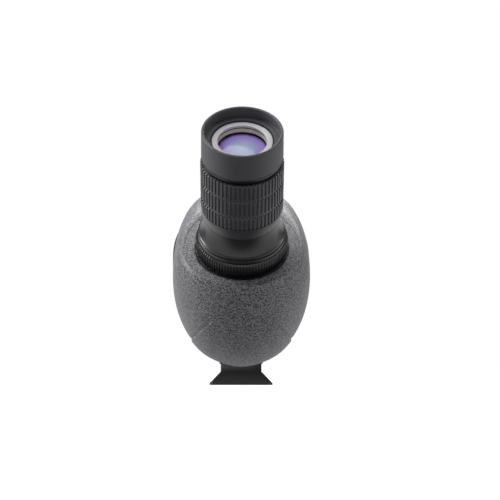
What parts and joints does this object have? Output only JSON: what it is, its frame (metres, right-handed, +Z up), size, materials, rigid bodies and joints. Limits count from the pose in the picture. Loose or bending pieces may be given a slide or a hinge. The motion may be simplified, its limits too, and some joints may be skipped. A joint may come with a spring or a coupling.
{
  "type": "spotting scope",
  "caption": "Angled spotting scope with prism housing, zoom eyepiece with twist-up eyecup, focus ring, sliding sunshade and dovetail tripod foot.",
  "frame": {"origin": "centre of the foot's bottom face, on the axis of the small tripod thread", "axes": "+Y along the main optical axis towards the objective, +X to the right seen from the eyepiece, +Z up"},
  "size_m": [0.0866, 0.3404, 0.153],
  "materials": {
    "casing_paint": "satin black paint on cast light alloy",
    "rear_rubber": "grey textured rubber armour",
    "front_rubber": "black textured rubber armour",
    "foot_metal": "black anodised",
    "screw_steel": "plain steel",
    "black_anodised": "satin black anodised",
    "matte_black": "flat black anodised",
    "seal_rubber": "nitrile O-ring",
    "felt": "black felt",
    "optical_glass": "coated optical glass",
    "spacer_metal": "plain",
    "clamp_steel": "spring steel",
    "socket_metal": "machined",
    "grip_rubber": "black ribbed rubber",
    "shade_paint": "grey textured paint on aluminium",
    "barrel_satin": "satin black anodised",
    "gloss_black": "glossy black",
    "zoom_rubber": "dark grey ribbed rubber",
    "zoom_metal": "satin dark anodised",
    "cam_brass": "machined brass",
    "eye_glass": "violet anti-reflection coated glass",
    "silver_ring": "satin silver",
    "sleeve_beige": "light anodised",
    "cup_rubber": "dark grey soft rubber"
  },
  "bodies": {
    "scope_body": {"main_casing": "casing_paint", "rear_armour": "rear_rubber", "belly_armour": "rear_rubber", "front_armour": "front_rubber", "tripod_foot": "foot_metal", "foot_screws": "screw_steel", "main_tube": "black_anodised", "tube_flange_screws": "screw_steel", "light_baffles": "matte_black", "focus_stop_ring": "black_anodised", "focus_seals": "seal_rubber", "objective_barrel": "black_anodised", "sunshade_felts": "felt", "objective_cell": "matte_black", "crown_lens": "optical_glass", "flint_lens": "optical_glass", "lens_spacer": "spacer_metal", "objective_retaining_ring": "matte_black", "objective_seal": "seal_rubber", "prism_bracket": "matte_black", "roof_prism": "optical_glass", "prism_clamp": "clamp_steel", "prism_screws": "screw_steel", "eyepiece_socket": "socket_metal", "socket_screws": "screw_steel", "port_window": "optical_glass", "window_retainer": "matte_black"},
    "focus_ring": {"focus_ring": "black_anodised", "focus_grip": "grip_rubber"},
    "focus_cell": {"focus_cell": "matte_black", "focus_lens": "optical_glass", "focus_lens_retainer": "matte_black", "focus_pin": "screw_steel"},
    "sunshade": {"sunshade": "shade_paint", "sunshade_bumper": "grip_rubber"},
    "eyepiece": {"guide_tube": "black_anodised", "eyepiece_barrel": "barrel_satin", "upper_collar": "gloss_black", "eyecup_guide": "black_anodised", "lens_housing": "matte_black", "eye_lens": "eye_glass", "inner_eye_lens": "optical_glass", "eye_ring": "silver_ring", "bore_sleeve": "sleeve_beige", "socket_o_ring": "seal_rubber"},
    "lock_ring": {"lock_ring": "gloss_black"},
    "zoom_ring": {"zoom_ring": "zoom_metal", "zoom_grip": "zoom_rubber", "cam_tube": "cam_brass", "cam_screws": "screw_steel"},
    "lower_zoom_cell": {"lower_zoom_cell": "matte_black", "lower_zoom_lens": "optical_glass", "lower_cam_pin": "screw_steel"},
    "upper_zoom_cell": {"upper_zoom_cell": "matte_black", "upper_zoom_lens": "optical_glass", "upper_cam_pin": "screw_steel"},
    "eyecup_sleeve": {"eyecup_sleeve": "black_anodised", "eyecup_keys": "screw_steel"},
    "eyecup": {"eyecup": "cup_rubber"}
  },
  "joints": [
    {"name": "focus_turn", "type": "hinge", "parent": "scope_body", "child": "focus_ring", "pos_m": [0, 0.05, 0.0612], "axis": [0, 1, 0], "range_deg": [-135, 135]},
    {"name": "focus_travel", "type": "slide", "parent": "scope_body", "child": "focus_cell", "axis": [0, 1, 0], "range_m": [-0.0081, 0.0081]},
    {"name": "sunshade_slide", "type": "slide", "parent": "scope_body", "child": "sunshade", "axis": [0, 1, 0], "range_m": [0, 0.038]},
    {"name": "eyepiece_pull", "type": "slide", "parent": "scope_body", "child": "eyepiece", "axis": [0, -0.7071, 0.7071], "range_m": [0, 0.016]},
    {"name": "lock_ring_turn", "type": "hinge", "parent": "eyepiece", "child": "lock_ring", "pos_m": [0, -0.10493, 0.07747], "axis": [0, -0.7071, 0.7071], "range_deg": [-90, 0]},
    {"name": "zoom_turn", "type": "hinge", "parent": "eyepiece", "child": "zoom_ring", "pos_m": [0, -0.10493, 0.07747], "axis": [0, -0.7071, 0.7071], "range_deg": [0, 110]},
    {"name": "lower_zoom_travel", "type": "slide", "parent": "eyepiece", "child": "lower_zoom_cell", "axis": [0, -0.7071, 0.7071], "range_m": [0, 0.0091]},
    {"name": "upper_zoom_travel", "type": "slide", "parent": "eyepiece", "child": "upper_zoom_cell", "axis": [0, -0.7071, 0.7071], "range_m": [-0.0081, 0]},
    {"name": "eyecup_lift", "type": "slide", "parent": "eyepiece", "child": "eyecup_sleeve", "axis": [0, -0.7071, 0.7071], "range_m": [0, 0.0081]},
    {"name": "eyecup_twist", "type": "hinge", "parent": "eyecup_sleeve", "child": "eyecup", "pos_m": [0, -0.10493, 0.07747], "axis": [0, -0.7071, 0.7071], "range_deg": [0, 120]}
  ],
  "couplings": [
    {"joint": "focus_travel", "follows": "focus_turn", "m_per_rad": 0.0033953},
    {"joint": "lower_zoom_travel", "follows": "zoom_turn", "m_per_rad": 0.0046878},
    {"joint": "upper_zoom_travel", "follows": "zoom_turn", "m_per_rad": -0.004167},
    {"joint": "eyecup_lift", "follows": "eyecup_twist", "m_per_rad": 0.0038197}
  ]
}
